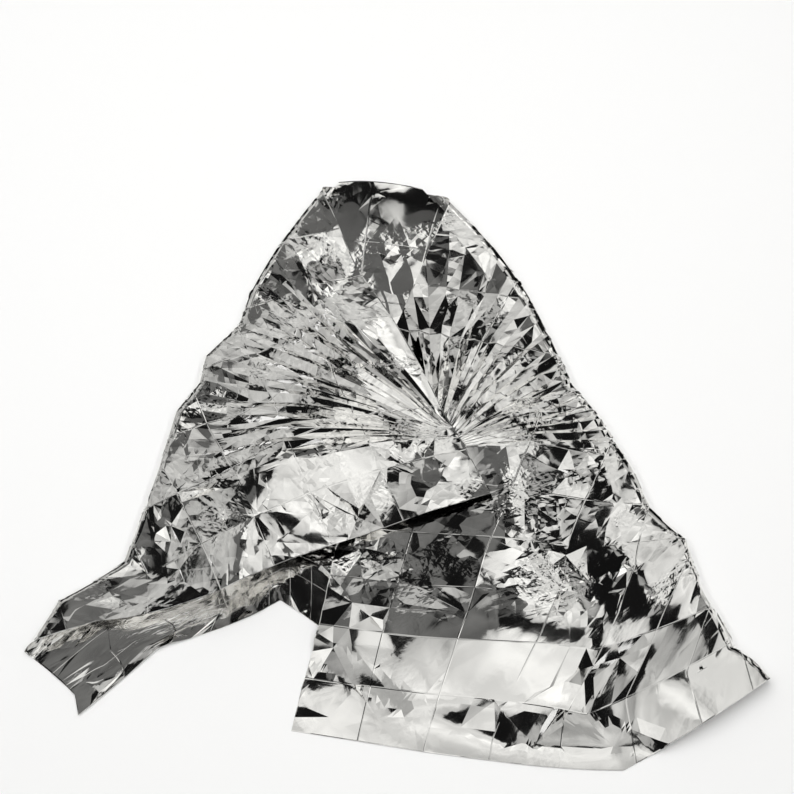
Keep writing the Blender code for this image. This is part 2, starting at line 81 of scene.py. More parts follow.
# How far the outline is turned outwards about the apex, at each radius: the shoulders are drawn in,
# and the film bulges over the flap on the right and over the tail on the left
OUTLINE = {
    "left": {
        "radius": (0.30, 0.42, 0.49, 0.59, 0.65, 0.73, 0.87, 1.00, 1.06, 1.19),
        "turn_deg": (-2.5, -3.3, -4.5, -1.5, -2.6, -1.4, -2.9, -3.9, -4.3, -0.5),
    },
    "right": {
        "radius": (0.30, 0.49, 0.64, 0.72, 0.87, 0.97, 1.07, 1.15, 1.23, 1.31, 1.42),
        "turn_deg": (-2.4, -3.6, -3.1, -1.1, 1.1, 1.7, 4.0, 3.6, 1.6, -0.8, 0.2),
    },
}
OUTLINE_RAMP = (0.0, 0.50)  # lying angle over which the turn fades in

# How far the lower edge is drawn up, under the front panels and round the right fold, at angles
# of the flat sheet
LOWER_EDGE = {
    "sheet_deg": (-40, -36, -32, -24, -10, 0, 12, 24, 34, 41, 46, 49, 60, 74, 86),
    "drawn_up": (
        0.0, 0.08, 0.16, 0.25, 0.29, 0.24, 0.19, 0.20, 0.25, 0.28, 0.23, 0.18, 0.04, 0.02, 0.01
    ),
}
DRAWING_UP_STARTS = 0.45  # share of the way down

# Loft of the layers. A pair named ..._RAMP says where a smooth rise starts and how long it is
OVER_BACK = 0.016  # middle of the right panel's film above the floor where the back is under it
OVER_RIGHT = 0.024  # left panel above the right one
OVER_RIGHT_AT_EDGE = 0.010
LOFTS = {
    "right": {"rise": 0.070, "from_fold": 0.22, "near_neck": 0.35},
    "left": {"rise": 0.078, "from_fold": 0.24, "near_neck": 0.40},
}
NECK_RAMP = (0.25, 0.35)  # radius from which the panels reach their full loft
FOLD_SETTLES = 0.16  # distance over which a panel comes down from its fold to the layer below
RIGHT_TOP_RAMP = (-0.03, 0.38)  # from the right panel's neck edge
RIGHT_LOWER_RAMP = (-0.02, 0.30)  # from its lower edge
LEFT_TOP = 0.35  # share of the left panel's loft that it has at its neck edge
LEFT_TOP_RAMP = (0.0, 0.20)
LEFT_LOWER = 0.26  # share that it has at its lower edge, near the neck edge
LEFT_LOWER_MORE = 0.36  # and how much more, further down
LEFT_LOWER_MORE_RAMP = (0.16, 0.34)
LEFT_LOWER_RAMP = (0.0, 0.25)
EDGE_RAMPS = {"top": (0.0, 0.06), "lower": (0.0, 0.09)}  # the left panel's distance over the right
RIGHT_UNDER_RAMP = (-0.10, 0.09)
HEM_STEP_RAMP = (0.012, 0.075)  # the right panel's step down past the back's hem
JUST_INSIDE = 0.999  # share of the way to the hem
COLLAR_LIFT = 0.022
COLLAR_DEPTH = 0.07
LAPEL_RIDGE = 0.022  # height of the first crease along the left panel's free edge
LAPEL_WIDTH = 0.095
LAPEL_RAMP = (0.24, 0.10)
SWELLS = (  # broad waves of the front panels
    {"height": 0.0090, "per_s": 9.0, "per_t": 5.0, "phase": 0.6},
    {"height": 0.0063, "per_s": -6.0, "per_t": 14.0, "phase": 1.9},
)
SWELL_LOFT = 0.03  # loft from which the waves have their full height

# The fans of pleats: centre in sheet coordinates, and the sweep of angles from the direction of
# the neck towards the hem
FANS = {
    "left": {"s": -0.700, "t": 0.0, "to_neck": 1, "from_deg": 9, "to_deg": 84, "pleats": 14},
    "right": {"s": 0.690, "t": 0.130, "to_neck": -1, "from_deg": -36, "to_deg": 78, "pleats": 18},
}
PLEAT_RADII = (0.035, 0.06, 0.09, 0.13, 0.17, 0.22, 0.28, 0.35, 0.44, 0.53)
PLEAT_RISE = 0.034  # pleat height as a share of the distance from the fan's centre, at most
PLEAT_UNEVEN = 0.30
PLEAT_PEAK = 0.20
PLEAT_FADES = 0.24
PLEAT_END = 0.53
PLEAT_LEAST = 0.50  # height of the lowest pleat as a share of the highest
FAN_RIM = 0.06  # share of a fan's angle over which its first and last pleats die out

# Relief of the pack creases and of the dents where they cross
CREASE_RISE = {
    "right": {"column": 0.0085, "row": 0.0030},
    "left": {"column": 0.0055, "row": 0.0035},
    "back": {"column": 0.0030, "row": 0.0025},
}
CREASE_SPREAD = 0.0035
FAN_CALM = {"within": 0.45, "over": 0.35, "least": 0.25}  # pack creases are pulled flat in a fan
# The right panel's lower bands are flat from side to side and tilt alike, two by two
LOWER_BANDS = {
    "crease": (15, 16, 17, 18, 19, 20),
    "rise": (-0.0085, -0.0020, -0.0020, 0.0080, -0.0020, 0.0020),
}
BAND_RAMP = (15.5, 2.0)  # crease from which the rows count for less
BAND_ROWS = 0.25
HIDDEN_SHARE = 0.22  # of the right panel's relief, where the left one covers it
COVER_MARGIN = 0.045  # distance over which a cover takes effect
COVER_RIM = 0.075  # the back is calm this far past what covers it
FOLD_SMOOTH = 0.06  # distance from a long fold over which the relief fades in
FLOOR_SMOOTH = {"over": 0.012, "least": 0.35}  # and the height over the floor
# Dents where the film has popped in: each is a triangle with its base along a column crease or
# close to one and its apex a way off, in cells of the pack counted from the left panel's corner
DENT_COLUMNS = ("base_column", "from_row", "to_row", "apex_column", "apex_row", "depth")
DENTS = (
    (19.00, 3.25, 4.28, 18.35, 3.85, 0.016),
    (19.00, 4.32, 5.45, 18.30, 4.55, 0.016),
    (19.60, 3.65, 4.70, 19.05, 3.97, 0.014),
    (19.50, 2.45, 3.50, 19.05, 2.80, 0.010),
    (19.65, 0.50, 1.30, 19.05, 0.80, 0.014),
    (19.10, 0.10, 0.80, 18.40, 0.30, 0.013),
    (18.30, 0.60, 1.30, 17.70, 0.75, 0.012),
    (17.50, 0.45, 1.95, 16.60, 0.60, 0.018),
    (17.00, 2.55, 3.45, 16.15, 3.00, 0.011),
    (18.00, 2.50, 3.50, 17.10, 3.05, 0.011),
    (15.20, 2.20, 3.00, 14.35, 2.70, 0.012),
    (14.00, 3.60, 4.50, 13.30, 4.10, 0.010),
    (1.00, 3.00, 4.30, 1.90, 3.50, 0.013),
    (2.00, 4.00, 4.90, 1.35, 4.45, 0.011),
    (1.00, 1.00, 2.00, 0.35, 1.50, 0.014),
    (3.00, 1.10, 2.40, 2.40, 1.70, 0.013),
    (1.00, 0.08, 0.92, 0.42, 0.50, -0.010),
    (2.70, 5.00, 5.90, 2.10, 5.45, 0.012),
    (19.20, 6.10, 7.00, 18.50, 6.50, 0.008),
    (8.00, 7.60, 8.40, 7.40, 8.00, 0.006),
)
DENT_ON_BACK = 0.6  # the back lies flat, so its dents are shallower
RIPPLE = 0.0035  # small waves along the right panel's neck edge
RIPPLE_PITCH = 0.052
RIPPLE_REACH = 0.05  # how far they reach into the panel
RIPPLE_RAMP = (0.75, 0.10)  # and where along the edge they begin

# Where the sheet has points
POINTS_PER_CELL = 4  # along each crease
FOLD_STATION = 0.045  # between the points along a long fold
FOLD_TURNS = (-1.0, -0.5, 0.0, 0.5, 1.0, 1.9)  # rows of points round a fold, in half turns of it
MERGE = 0.0012  # points closer than this are one
NORMAL_STEP = 0.002  # distance over which the sheet's slope is measured


def ease(x):
    """0 below 0, 1 above 1, and smooth between."""
    x = np.clip(x, 0.0, 1.0)
    return x * x * (3 - 2 * x)


def ramp(value, start_and_length):
    """0 up to the start, 1 past the length after it, and smooth between."""
    start, length = start_and_length
    return ease((value - start) / length)


def at_least(least, share):
    """The share, squeezed between a least share and 1."""
    return least + (1 - least) * share


def scatter(i, j, salt):
    """A repeatable number from -1 to 1 for a pair of whole numbers."""
    value = np.sin(np.asarray(i) * 12.9898 + np.asarray(j) * 78.233 + salt * 37.719) * 43758.5453
    return 2 * (value - np.floor(value)) - 1


def soft_max(a, b, width=0.012):
    """The larger of two heights, rounded over where they meet."""
    return 0.5 * (a + b + np.sqrt((a - b) ** 2 + width**2))


def polar(s, t):
    """Radius and angle of a sheet point about the cone's apex."""
    return np.hypot(s, t + APEX), np.arctan2(s, t + APEX)


def fold_radius(rho):
    """Radius of a long fold's bend at a distance from the apex."""
    return FOLD_RADIUS_NECK + (FOLD_RADIUS_HEM - FOLD_RADIUS_NECK) * ramp(rho, FOLD_RADIUS_RAMP)


def angles(side):
    """The fold's angle in the sheet and lying, in radians, and the share the panel keeps."""
    fold = FOLDS[side]
    return math.radians(fold["sheet_deg"]), math.radians(fold["lying_deg"]), fold["panel_keeps"]


def hem_radius(phi):
    """Distance from the apex to the sheet's border at an angle of the flat sheet."""
    to_hem = (SHORT_SIDE + APEX) / np.cos(np.clip(phi, -WIDEST, WIDEST))
    half = np.where(phi > 0, RIGHT_HALF, LEFT_HALF)
    to_side = half / np.maximum(np.abs(np.sin(phi)), 1e-6)
    return np.minimum(to_hem, to_side)


def drawn_radius(rho, phi):
    """Radius at which a point lies, with the lower edge drawn up."""
    drawn = np.interp(np.degrees(phi), LOWER_EDGE["sheet_deg"], LOWER_EDGE["drawn_up"])
    along = (rho / hem_radius(phi) - DRAWING_UP_STARTS) / (1 - DRAWING_UP_STARTS)
    return rho * (1 - drawn * ease(along))


def flare(rho, phi):
    """Extra lying angle about the right fold, which bends outwards near the hem."""
    from_fold = (np.degrees(phi) - FOLDS["right"]["sheet_deg"]) / FLARE_WIDTH_DEG
    return math.radians(FLARE_DEG) * ease((rho - FLARE_FROM) / FLARE_LENGTH) * np.exp(-from_fold**2)


def across(rho, phi):
    """Lying radius and angle, the turn round each fold from -1 to 1, and the panel.

    The panel is 1 on the right, -1 on the left and 0 on the back."""
    bend = math.pi * fold_radius(rho) / 2 / rho
    right_sheet, right_lying, right_keeps = angles("right")
    left_sheet, left_lying, left_keeps = angles("left")
    back_from, back_to = bend - left_sheet, right_sheet - bend
    back = -left_lying + (phi - back_from) * (left_lying + right_lying) / (back_to - back_from)
    turn_right = np.clip((phi - right_sheet) / bend, -1, 1)
    turn_left = np.clip((-phi - left_sheet) / bend, -1, 1)
    radius_share = fold_radius(rho) / rho
    around = right_lying + radius_share * np.cos(turn_right * math.pi / 2)
    lying = np.where(phi > back_to, around, back)
    beyond = right_lying - right_keeps * (phi - right_sheet - bend)
    lying = np.where(phi > right_sheet + bend, beyond, lying)
    around = -left_lying - radius_share * np.cos(turn_left * math.pi / 2)
    lying = np.where(phi < back_from, around, lying)
    beyond = -left_lying + left_keeps * (-phi - left_sheet - bend)
    lying = np.where(phi < -left_sheet - bend, beyond, lying)
    lying = lying + flare(rho, phi)
    panel = np.where(phi > right_sheet, 1, np.where(phi < -left_sheet, -1, 0))
    return drawn_radius(rho, phi), lying, turn_right, turn_left, panel


def sheet_point(side, radius, lying):
    """The sheet point of a front panel that lies at this radius and angle."""
    fold_sheet, fold_lying, keeps = angles(side)
    bend = math.pi * fold_radius(radius) / 2 / radius
    sign = 1 if side == "right" else -1
    phi = sign * (fold_sheet + bend + (fold_lying - sign * lying) / keeps)
    return radius * np.sin(phi), radius * np.cos(phi) - APEX


def covered_by(side, radius, lying, beyond=0.0):
    """1 where a front panel, or a rim of the given width round it, lies over this place."""
    s, t = sheet_point(side, radius, lying)
    half = RIGHT_HALF if side == "right" else LEFT_HALF
    reach = half - np.abs(s)
    return ease((t + beyond) / COVER_MARGIN) * ease((reach + beyond) / COVER_MARGIN)


def back_is_under(radius, lying):
    """1 where the back lies under this place, 0 past its hem."""
    right_sheet, right_lying, _ = angles("right")
    left_sheet, left_lying, _ = angles("left")
    share = np.clip((lying + left_lying) / (left_lying + right_lying), 0, 1)
    phi = -left_sheet + share * (left_sheet + right_sheet)
    hem = drawn_radius(hem_radius(phi) * JUST_INSIDE, phi)
    return 1 - ramp(radius - hem, HEM_STEP_RAMP)


def swell(s, t):
    """Broad waves of a front panel."""
    return sum(
        wave["height"] * np.sin(wave["per_s"] * s + wave["per_t"] * t + wave["phase"])
        for wave in SWELLS
    )


def panel_loft(side, radius, from_fold):
    """Loft of a front panel far from its edges."""
    loft = LOFTS[side]
    from_neck = at_least(loft["near_neck"], ramp(radius, NECK_RAMP))
    return loft["rise"] * ease(from_fold / loft["from_fold"]) * from_neck


def settled(radius, from_fold, rest):
    """Height of a panel without loft, which comes down from its fold to the height of rest."""
    fold_top = FILM / 2 + 2 * fold_radius(radius)
    return fold_top + (rest - fold_top) * ease(from_fold / FOLD_SETTLES)


def right_height(s, t, radius, lying):
    """Height of the right panel's film."""
    from_fold = radius * np.maximum(angles("right")[1] - lying, 0.0)
    loft = panel_loft("right", radius, from_fold)
    loft = loft * ramp(t, RIGHT_TOP_RAMP) * ramp(RIGHT_HALF - s, RIGHT_LOWER_RAMP)
    rest = FILM / 2 + OVER_BACK * back_is_under(radius, lying)
    return settled(radius, from_fold, rest) + loft + swell(s, t) * ease(loft / SWELL_LOFT)


def left_height(s, t, radius, lying):
    """Height of the left panel's film, kept above the right panel."""
    from_fold = radius * np.maximum(lying + angles("left")[1], 0.0)
    lower = LEFT_HALF + s
    at_lower_edge = LEFT_LOWER + LEFT_LOWER_MORE * ramp(t, LEFT_LOWER_MORE_RAMP)
    loft = panel_loft("left", radius, from_fold)
    loft = loft * at_least(at_lower_edge, ramp(lower, LEFT_LOWER_RAMP))
    base = settled(radius, from_fold, FILM / 2 + OVER_BACK)
    waves = swell(s, t) * ease(loft / SWELL_LOFT)
    free = base + loft * at_least(LEFT_TOP, ramp(t, LEFT_TOP_RAMP)) + waves
    right_s, right_t = sheet_point("right", radius, lying)
    right = right_height(right_s, np.maximum(right_t, 0.0), radius, lying)
    from_edges = ramp(t, EDGE_RAMPS["top"]) * ramp(lower, EDGE_RAMPS["lower"])
    over = OVER_RIGHT_AT_EDGE + (OVER_RIGHT - OVER_RIGHT_AT_EDGE) * from_edges
    raised = soft_max(free, right + over)
    lapel = LAPEL_RIDGE * np.clip(1 - np.abs(t - LAPEL_WIDTH) / LAPEL_WIDTH, 0, 1)
    lapel = lapel * ramp(radius, LAPEL_RAMP)
    return free + (raised - free) * ramp(right_t, RIGHT_UNDER_RAMP) + lapel


def shoulder(side, radius):
    """How much wider than a plain cone the sheet lies, on one side of the neck."""
    return SHOULDER_SPREAD[side] * np.exp(-((radius - SHOULDER_AT) / SHOULDER_REACH[side]) ** 2)


def outline_turn(radius, lying):
    """How far a place is turned about the apex by the unevenness of the outline."""
    turned = 0.0
    for side, sign in (("right", 1), ("left", -1)):
        degrees = np.interp(radius, OUTLINE[side]["radius"], OUTLINE[side]["turn_deg"])
        turned = turned + sign * np.radians(degrees) * ramp(sign * lying, OUTLINE_RAMP)
    return turned


def lie(s, t):
    """Where a point of the sheet lies, without its creases. s and t are arrays."""
    rho, phi = polar(s, t)
    radius, lying, turn_right, turn_left, panel = across(rho, phi)
    turn = np.where(phi > 0, turn_right, turn_left)
    bend_radius = fold_radius(rho)
    around_fold = FILM / 2 + bend_radius * (1 + np.sin(turn * math.pi / 2))
    in_v = (1 - covered_by("right", radius, lying)) * (1 - covered_by("left", radius, lying))
    collar = COLLAR_LIFT * in_v * np.exp(-np.maximum(t, 0.0) / COLLAR_DEPTH)
    z = np.where(turn > -1, around_fold, FILM / 2 + collar)
    z = np.where((panel == 1) & (turn >= 1), right_height(s, t, radius, lying), z)
    z = np.where((panel == -1) & (turn >= 1), left_height(s, t, radius, lying), z)
    lying = lying + outline_turn(radius, lying)
    to_right = ramp(lying, SIDE_RAMP)
    spread = 1 + shoulder("left", radius) * (1 - to_right) + shoulder("right", radius) * to_right
    x = NECK_X + radius * np.sin(lying) * spread
    y = NECK_Y + APEX - radius * np.cos(lying)
    return np.stack([x, y, z], axis=-1)


def outward(s, t):
    """Unit normals of the lying sheet, up on the front panels and down on the back."""
    along_s = lie(s + NORMAL_STEP, t) - lie(s - NORMAL_STEP, t)
    along_t = lie(s, t + NORMAL_STEP) - lie(s, t - NORMAL_STEP)
    normal = np.cross(along_s, along_t)
    return normal / np.maximum(np.linalg.norm(normal, axis=-1, keepdims=True), 1e-12)


def crossing_height(k, j, panel):
    """Relief where pack crease k across the long side meets crease j across the short side."""
    rise = CREASE_RISE[panel]
    bands = np.interp(k, LOWER_BANDS["crease"], LOWER_BANDS["rise"])
    columns = np.where(k < LOWER_BANDS["crease"][0], rise["column"] * (-1.0) ** k, bands)
    across_bands = rise["row"] * (-1.0) ** j + CREASE_SPREAD * scatter(k, j, 1)
    return columns + across_bands * (1 - (1 - BAND_ROWS) * ramp(k, BAND_RAMP))


def crease_relief(s, t, panel):
    """Relief of the pack creases: straight between crossings."""
    u = np.clip((s + LEFT_HALF) / COLUMN_PITCH, 0, COLUMNS - 1e-6)
    v = np.clip(t / ROW_PITCH, 0, ROWS - 1e-6)
    k, j = np.floor(u), np.floor(v)
    du, dv = u - k, v - j
    near = crossing_height(k, j, panel) * (1 - du) + crossing_height(k + 1, j, panel) * du
    far = crossing_height(k, j + 1, panel) * (1 - du) + crossing_height(k + 1, j + 1, panel) * du
    return near * (1 - dv) + far * dv


def fan_polar(fan, s, t):
    """Distance from a fan's centre, and angle from the neck's direction towards the hem."""
    towards_neck = (s - fan["s"]) * fan["to_neck"]
    down = t - fan["t"]
    return np.hypot(towards_neck, down), np.degrees(np.arctan2(down, towards_neck))


def pleat_angles(fan):
    """Angles of a fan's ridges and valleys, a little unevenly spaced."""
    number = np.arange(2 * fan["pleats"] + 1)
    step = (fan["to_deg"] - fan["from_deg"]) / (2 * fan["pleats"])
    return fan["from_deg"] + step * (number + PLEAT_UNEVEN * scatter(number, fan["pleats"], 9))


def pleat_relief(fan, s, t):
    """Sharp pleats that spread from a fan's centre, deepest part of the way out."""
    r, angle = fan_polar(fan, s, t)
    share = (angle - fan["from_deg"]) / (fan["to_deg"] - fan["from_deg"])
    ridges = pleat_angles(fan)
    phase = np.interp(angle, ridges, np.arange(len(ridges)) / 2)
    wave = 1 - 4 * np.abs((phase % 1.0) - 0.5)
    uneven = at_least(PLEAT_LEAST, (1 + scatter(np.floor(phase), 0, 5)) / 2)
    fading = 1 - ramp(r, (PLEAT_FADES, PLEAT_END - PLEAT_FADES))
    rise = PLEAT_RISE * PLEAT_PEAK * ease(r / PLEAT_PEAK) * fading
    inside = ease(share / FAN_RIM) * ease((1 - share) / FAN_RIM)
    return wave * rise * uneven * inside


def fan_calm(fan, s, t):
    """How much of the pack creases' relief is left near a fan."""
    inside = ease((FAN_CALM["within"] - fan_polar(fan, s, t)[0]) / FAN_CALM["over"])
    return at_least(FAN_CALM["least"], 1 - inside)


def hidden(radius, lying):
    """How far the right panel and the back are covered at a place, each from 0 to 1."""
    over_back = [covered_by(side, radius, lying, COVER_RIM) for side in FOLDS]
    return covered_by("left", radius, lying), np.maximum(*over_back)


def relief(s, t):
    """Height of the creases and pleats along the outward normal."""
    rho, phi = polar(s, t)
    radius, lying, _, _, panel = across(rho, phi)
    hidden_right, hidden_back = hidden(radius, lying)
    front = {}
    for side, fan in FANS.items():
        creases = crease_relief(s, t, side) * fan_calm(fan, s, t)
        front[side] = creases + pleat_relief(fan, s, t)
    ripple = RIPPLE * np.sin(2 * math.pi * s / RIPPLE_PITCH) * np.exp(-t / RIPPLE_REACH)
    right = front["right"] + ripple * ramp(s, RIPPLE_RAMP)
    right = right * at_least(HIDDEN_SHARE, 1 - hidden_right)
    back = np.maximum(crease_relief(s, t, "back"), 0.0) * (1 - hidden_back)
    from_right = ease((phi - angles("right")[0]) * rho / FOLD_SMOOTH)
    from_left = ease((-phi - angles("left")[0]) * rho / FOLD_SMOOTH)
    value = np.where(panel == 1, right * from_right, -back)
    value = np.where(panel == -1, front["left"] * from_left, value)
    over_floor = ease((lie(s, t)[..., 2] - FILM / 2) / FLOOR_SMOOTH["over"])
    return np.where(panel == 0, value, value * at_least(FLOOR_SMOOTH["least"], over_floor))


def lines_of_pack():
    """The pack's creases and the sheet's border, each as a row of sheet points."""
    lines = []
    steps = ROWS * POINTS_PER_CELL
    for k in range(COLUMNS + 1):
        s = -LEFT_HALF + k * COLUMN_PITCH
        lines.append([(s, SHORT_SIDE * i / steps) for i in range(steps + 1)])
    steps = COLUMNS * POINTS_PER_CELL
    for j in range(ROWS + 1):
        t = j * ROW_PITCH
        lines.append([(-LEFT_HALF + LONG_SIDE * i / steps, t) for i in range(steps + 1)])
    return lines


def lines_of_folds():
    """Rows of points along each long fold, spread over its bend."""
    lines = []
    for side, sign in (("right", 1), ("left", -1)):
        fold_sheet = angles(side)[0]
        half = RIGHT_HALF if side == "right" else LEFT_HALF
        longest = min((SHORT_SIDE + APEX) / math.cos(fold_sheet), half / math.sin(fold_sheet))
        shortest = APEX / math.cos(fold_sheet)
        steps = round((longest - shortest) / FOLD_STATION)
        for turn in FOLD_TURNS:
            line = []
            for i in range(-1, steps + 2):
                rho = shortest + (longest - shortest) * i / steps
                phi = fold_sheet + turn * math.pi * float(fold_radius(rho)) / 2 / rho
                line.append((sign * rho * math.sin(phi), rho * math.cos(phi) - APEX))
            lines.append(clipped(line))
    return lines


def lines_of_pleats():
    """The ridges and valleys of both fans."""
    lines = []
    for fan in FANS.values():
        for angle in pleat_angles(fan):
            across_fan, down_fan = math.cos(math.radians(angle)), math.sin(math.radians(angle))
            line = [
                (fan["s"] + fan["to_neck"] * r * across_fan, fan["t"] + r * down_fan)
                for r in PLEAT_RADII
            ]
            lines.append(clipped(line))
    return lines


def clipped(line):
    """The points of a line that are on the sheet, with its ends brought to the border."""
    found = []
    for a, b in zip(line, line[1:]):
        ends = clip_segment(a, b)
        if ends:
            found.extend(ends if not found else ends[1:])
    return found


def clip_segment(a, b):
    """The part of a segment that is on the sheet, or None."""
    low, high = 0.0, 1.0
    for axis, least, most in ((0, -LEFT_HALF, RIGHT_HALF), (1, 0.0, SHORT_SIDE)):
        step = b[axis] - a[axis]
        if abs(step) < 1e-12:
            if not least <= a[axis] <= most:
                return None
            continue
        ends = sorted(((least - a[axis]) / step, (most - a[axis]) / step))
        low, high = max(low, ends[0]), min(high, ends[1])
    if low >= high:
        return None
    return [tuple(a[i] + (b[i] - a[i]) * share for i in (0, 1)) for share in (low, high)]


def dents():
    """The dents' base and apex as sheet points, with their depths."""
    found = []
    for row in DENTS:
        dent = dict(zip(DENT_COLUMNS, row))
        base_s = -LEFT_HALF + dent["base_column"] * COLUMN_PITCH
        apex = (-LEFT_HALF + dent["apex_column"] * COLUMN_PITCH, dent["apex_row"] * ROW_PITCH)
        ends = [(base_s, dent[end] * ROW_PITCH) for end in ("from_row", "to_row")]
        found.append({"base": ends, "apex": apex, "depth": dent["depth"]})
    return found


def triangulate(lines, found_dents):
    """Sheet points and triangles whose edges follow the lines and the dents."""
    points, edges, index = [], [], {}

    def number(point):
        key = (round(point[0] / MERGE), round(point[1] / MERGE))
        if key not in index:
            index[key] = len(points)
            points.append(Vector(point))
        return index[key]

    def join(line):
        numbers = [number(point) for point in line]
        edges.extend((a, b) for a, b in zip(numbers, numbers[1:]) if a != b)

    for line in lines:
        join(line)
    for dent in found_dents:
        start, end = dent["base"]
        join((start, dent["apex"], end, start))
    made = geometry.delaunay_2d_cdt(points, edges, [], 0, MERGE / 3)
    return np.array([tuple(p) for p in made[0]]), [tuple(face) for face in made[2]]


def dent_relief(s, t, found_dents):
    """Depth of the dents at their apexes, which are points of the sheet."""
    value = np.zeros_like(s)
    for dent in found_dents:
        at_apex = np.hypot(s - dent["apex"][0], t - dent["apex"][1]) < 2 * MERGE
        value[at_apex] = -dent["depth"]
    return value


# Crumples: short creases set at random, which the solid leaves out
SEED = 7
CRUMPLES = 240
CRUMPLE_LENGTH = (0.018, 0.060)
CRUMPLE_RISE = 0.0018  # height of a crumple of the usual length, at most
CRUMPLE_USUAL_LENGTH = 0.04
CRUMPLE_MARGIN = 0.02  # from the sheet's border
CRUMPLES_UNSEEN = 0.03  # share of the tries on a covered place that count
CRUMPLES_CALMED = 0.85  # share of the tries on the calm bands that don't
CALM_FROM = 0.96  # the right panel's lower bands are smoother than the rest
BACK_CALM_FROM = 1.00  # and so is the strip of the back that shows, from this t on
LIVELY_BEFORE = -0.56  # the left panel's lower part is more crumpled than the rest
CALM_OVER = 0.10

# Facets: each is cut into small triangles, bows a little and has fine waves
SPLIT = 4  # each facet's sides are cut into this many
LEAST_FACET = 0.0001  # root of a facet's doubled area, in metres
SAME_PLACE = 1e-6
BOW = 0.004  # bow of a facet as a share of its size
BUBBLE_SCALE = 27  # makes the product of a place's shares of the three corners 1 in the middle
WAVES = (  # fine waves: half waves for each metre along s and along t, and phase
    (14.0, 5.0, 0.4),
    (-7.0, 19.0, 1.7),
    (23.0, -13.0, 2.9),
    (9.0, 26.0, 4.1),
)
WAVE_RISE = 0.00007
SHARP_DEG = 5.0

# The film's material. Its noises are read where most of their values are
SHEET_MAP = "sheet"  # a map whose two coordinates are s and t, in metres
NOISE_MIDDLE = (0.3, 0.7)
SMUDGES = {"scale": 6.0, "detail": 5.0}
FILM_ROUGHNESS = (0.04, 0.11)
FILM_COLOURS = (  # over the smudges
    (0.35, (0.89, 0.885, 0.872, 1)),
    (0.65, (0.95, 0.945, 0.932, 1)),
)
CREASE_LINE_WIDTH = 0.0018
CREASE_LINE_RISE = 0.00032
FAINT_LINE = 0.15  # share of its rise that a crease line has where it has been smoothed out
FAINT_PATCHES = {"patch_scale": 8, "where": (0.38, 0.60)}
# Crinkles too fine for the mesh: cells for each metre, slope, shape of the cells, their turn in
# radians, and the scale and the values of the noise that says where they are
CRINKLE_COLUMNS = ("scale", "slope", "metric", "turn", "patch_scale", "where")
CRINKLES = (
    (16, 0.030, "MANHATTAN", 0.4, 4, (0.35, 0.55)),
    (48, 0.035, "MANHATTAN", 1.1, 7, (0.46, 0.60)),
    (110, 0.040, "CHEBYCHEV", 0.1, 9, (0.52, 0.62)),
)
WANDER = {"scale": 14.0, "detail": 3.0}  # the noise that bends the crinkles' lines
CRINKLE_BEND = 0.020  # how far it bends them, in metres
CALM_CRINKLES = 0.15  # share of the crinkles' height that is left where the film is calm


def showing(s, t):
    """1 where a sheet point can be seen from above, 0 where a front panel covers it."""
    rho, phi = polar(s, t)
    radius, lying, _, _, panel = across(rho, phi)
    hidden_right, hidden_back = hidden(radius, lying)
    return np.where(panel == 1, 1 - hidden_right, np.where(panel == 0, 1 - hidden_back, 1.0))


def crumples(rng):
    """Short creases strewn over what shows: two ends and a middle that stands up or down."""
    found = []
    while len(found) < CRUMPLES:
        s = rng.uniform(-LEFT_HALF + CRUMPLE_MARGIN, RIGHT_HALF - CRUMPLE_MARGIN)
        t = rng.uniform(CRUMPLE_MARGIN, SHORT_SIDE - CRUMPLE_MARGIN)
        unseen = showing(np.array([s]), np.array([t]))[0] < 0.5
        if unseen and rng.uniform() > CRUMPLES_UNSEEN:
            continue
        if rng.uniform() > 1 - CRUMPLES_CALMED * ease((s - CALM_FROM) / CALM_OVER):
            continue
        length = rng.uniform(*CRUMPLE_LENGTH)
        angle = rng.uniform(0, math.pi)
        ds, dt = 0.5 * length * math.cos(angle), 0.5 * length * math.sin(angle)
        line = clipped([(s - ds, t - dt), (s, t), (s + ds, t + dt)])
        if len(line) == 3:
            livelier = 1 + ease((LIVELY_BEFORE - s) / CALM_OVER)
            rise = CRUMPLE_RISE * livelier * length / CRUMPLE_USUAL_LENGTH
            found.append({"line": line, "rise": rng.uniform(-1, 1) * rise})
    return found


def crumple_relief(s, t, found_crumples):
    """Height of the crumples' middles, which are points of the sheet."""
    value = np.zeros_like(s)
    for crumple in found_crumples:
        middle = crumple["line"][1]
        value[np.hypot(s - middle[0], t - middle[1]) < 2 * MERGE] += crumple["rise"]
    return value


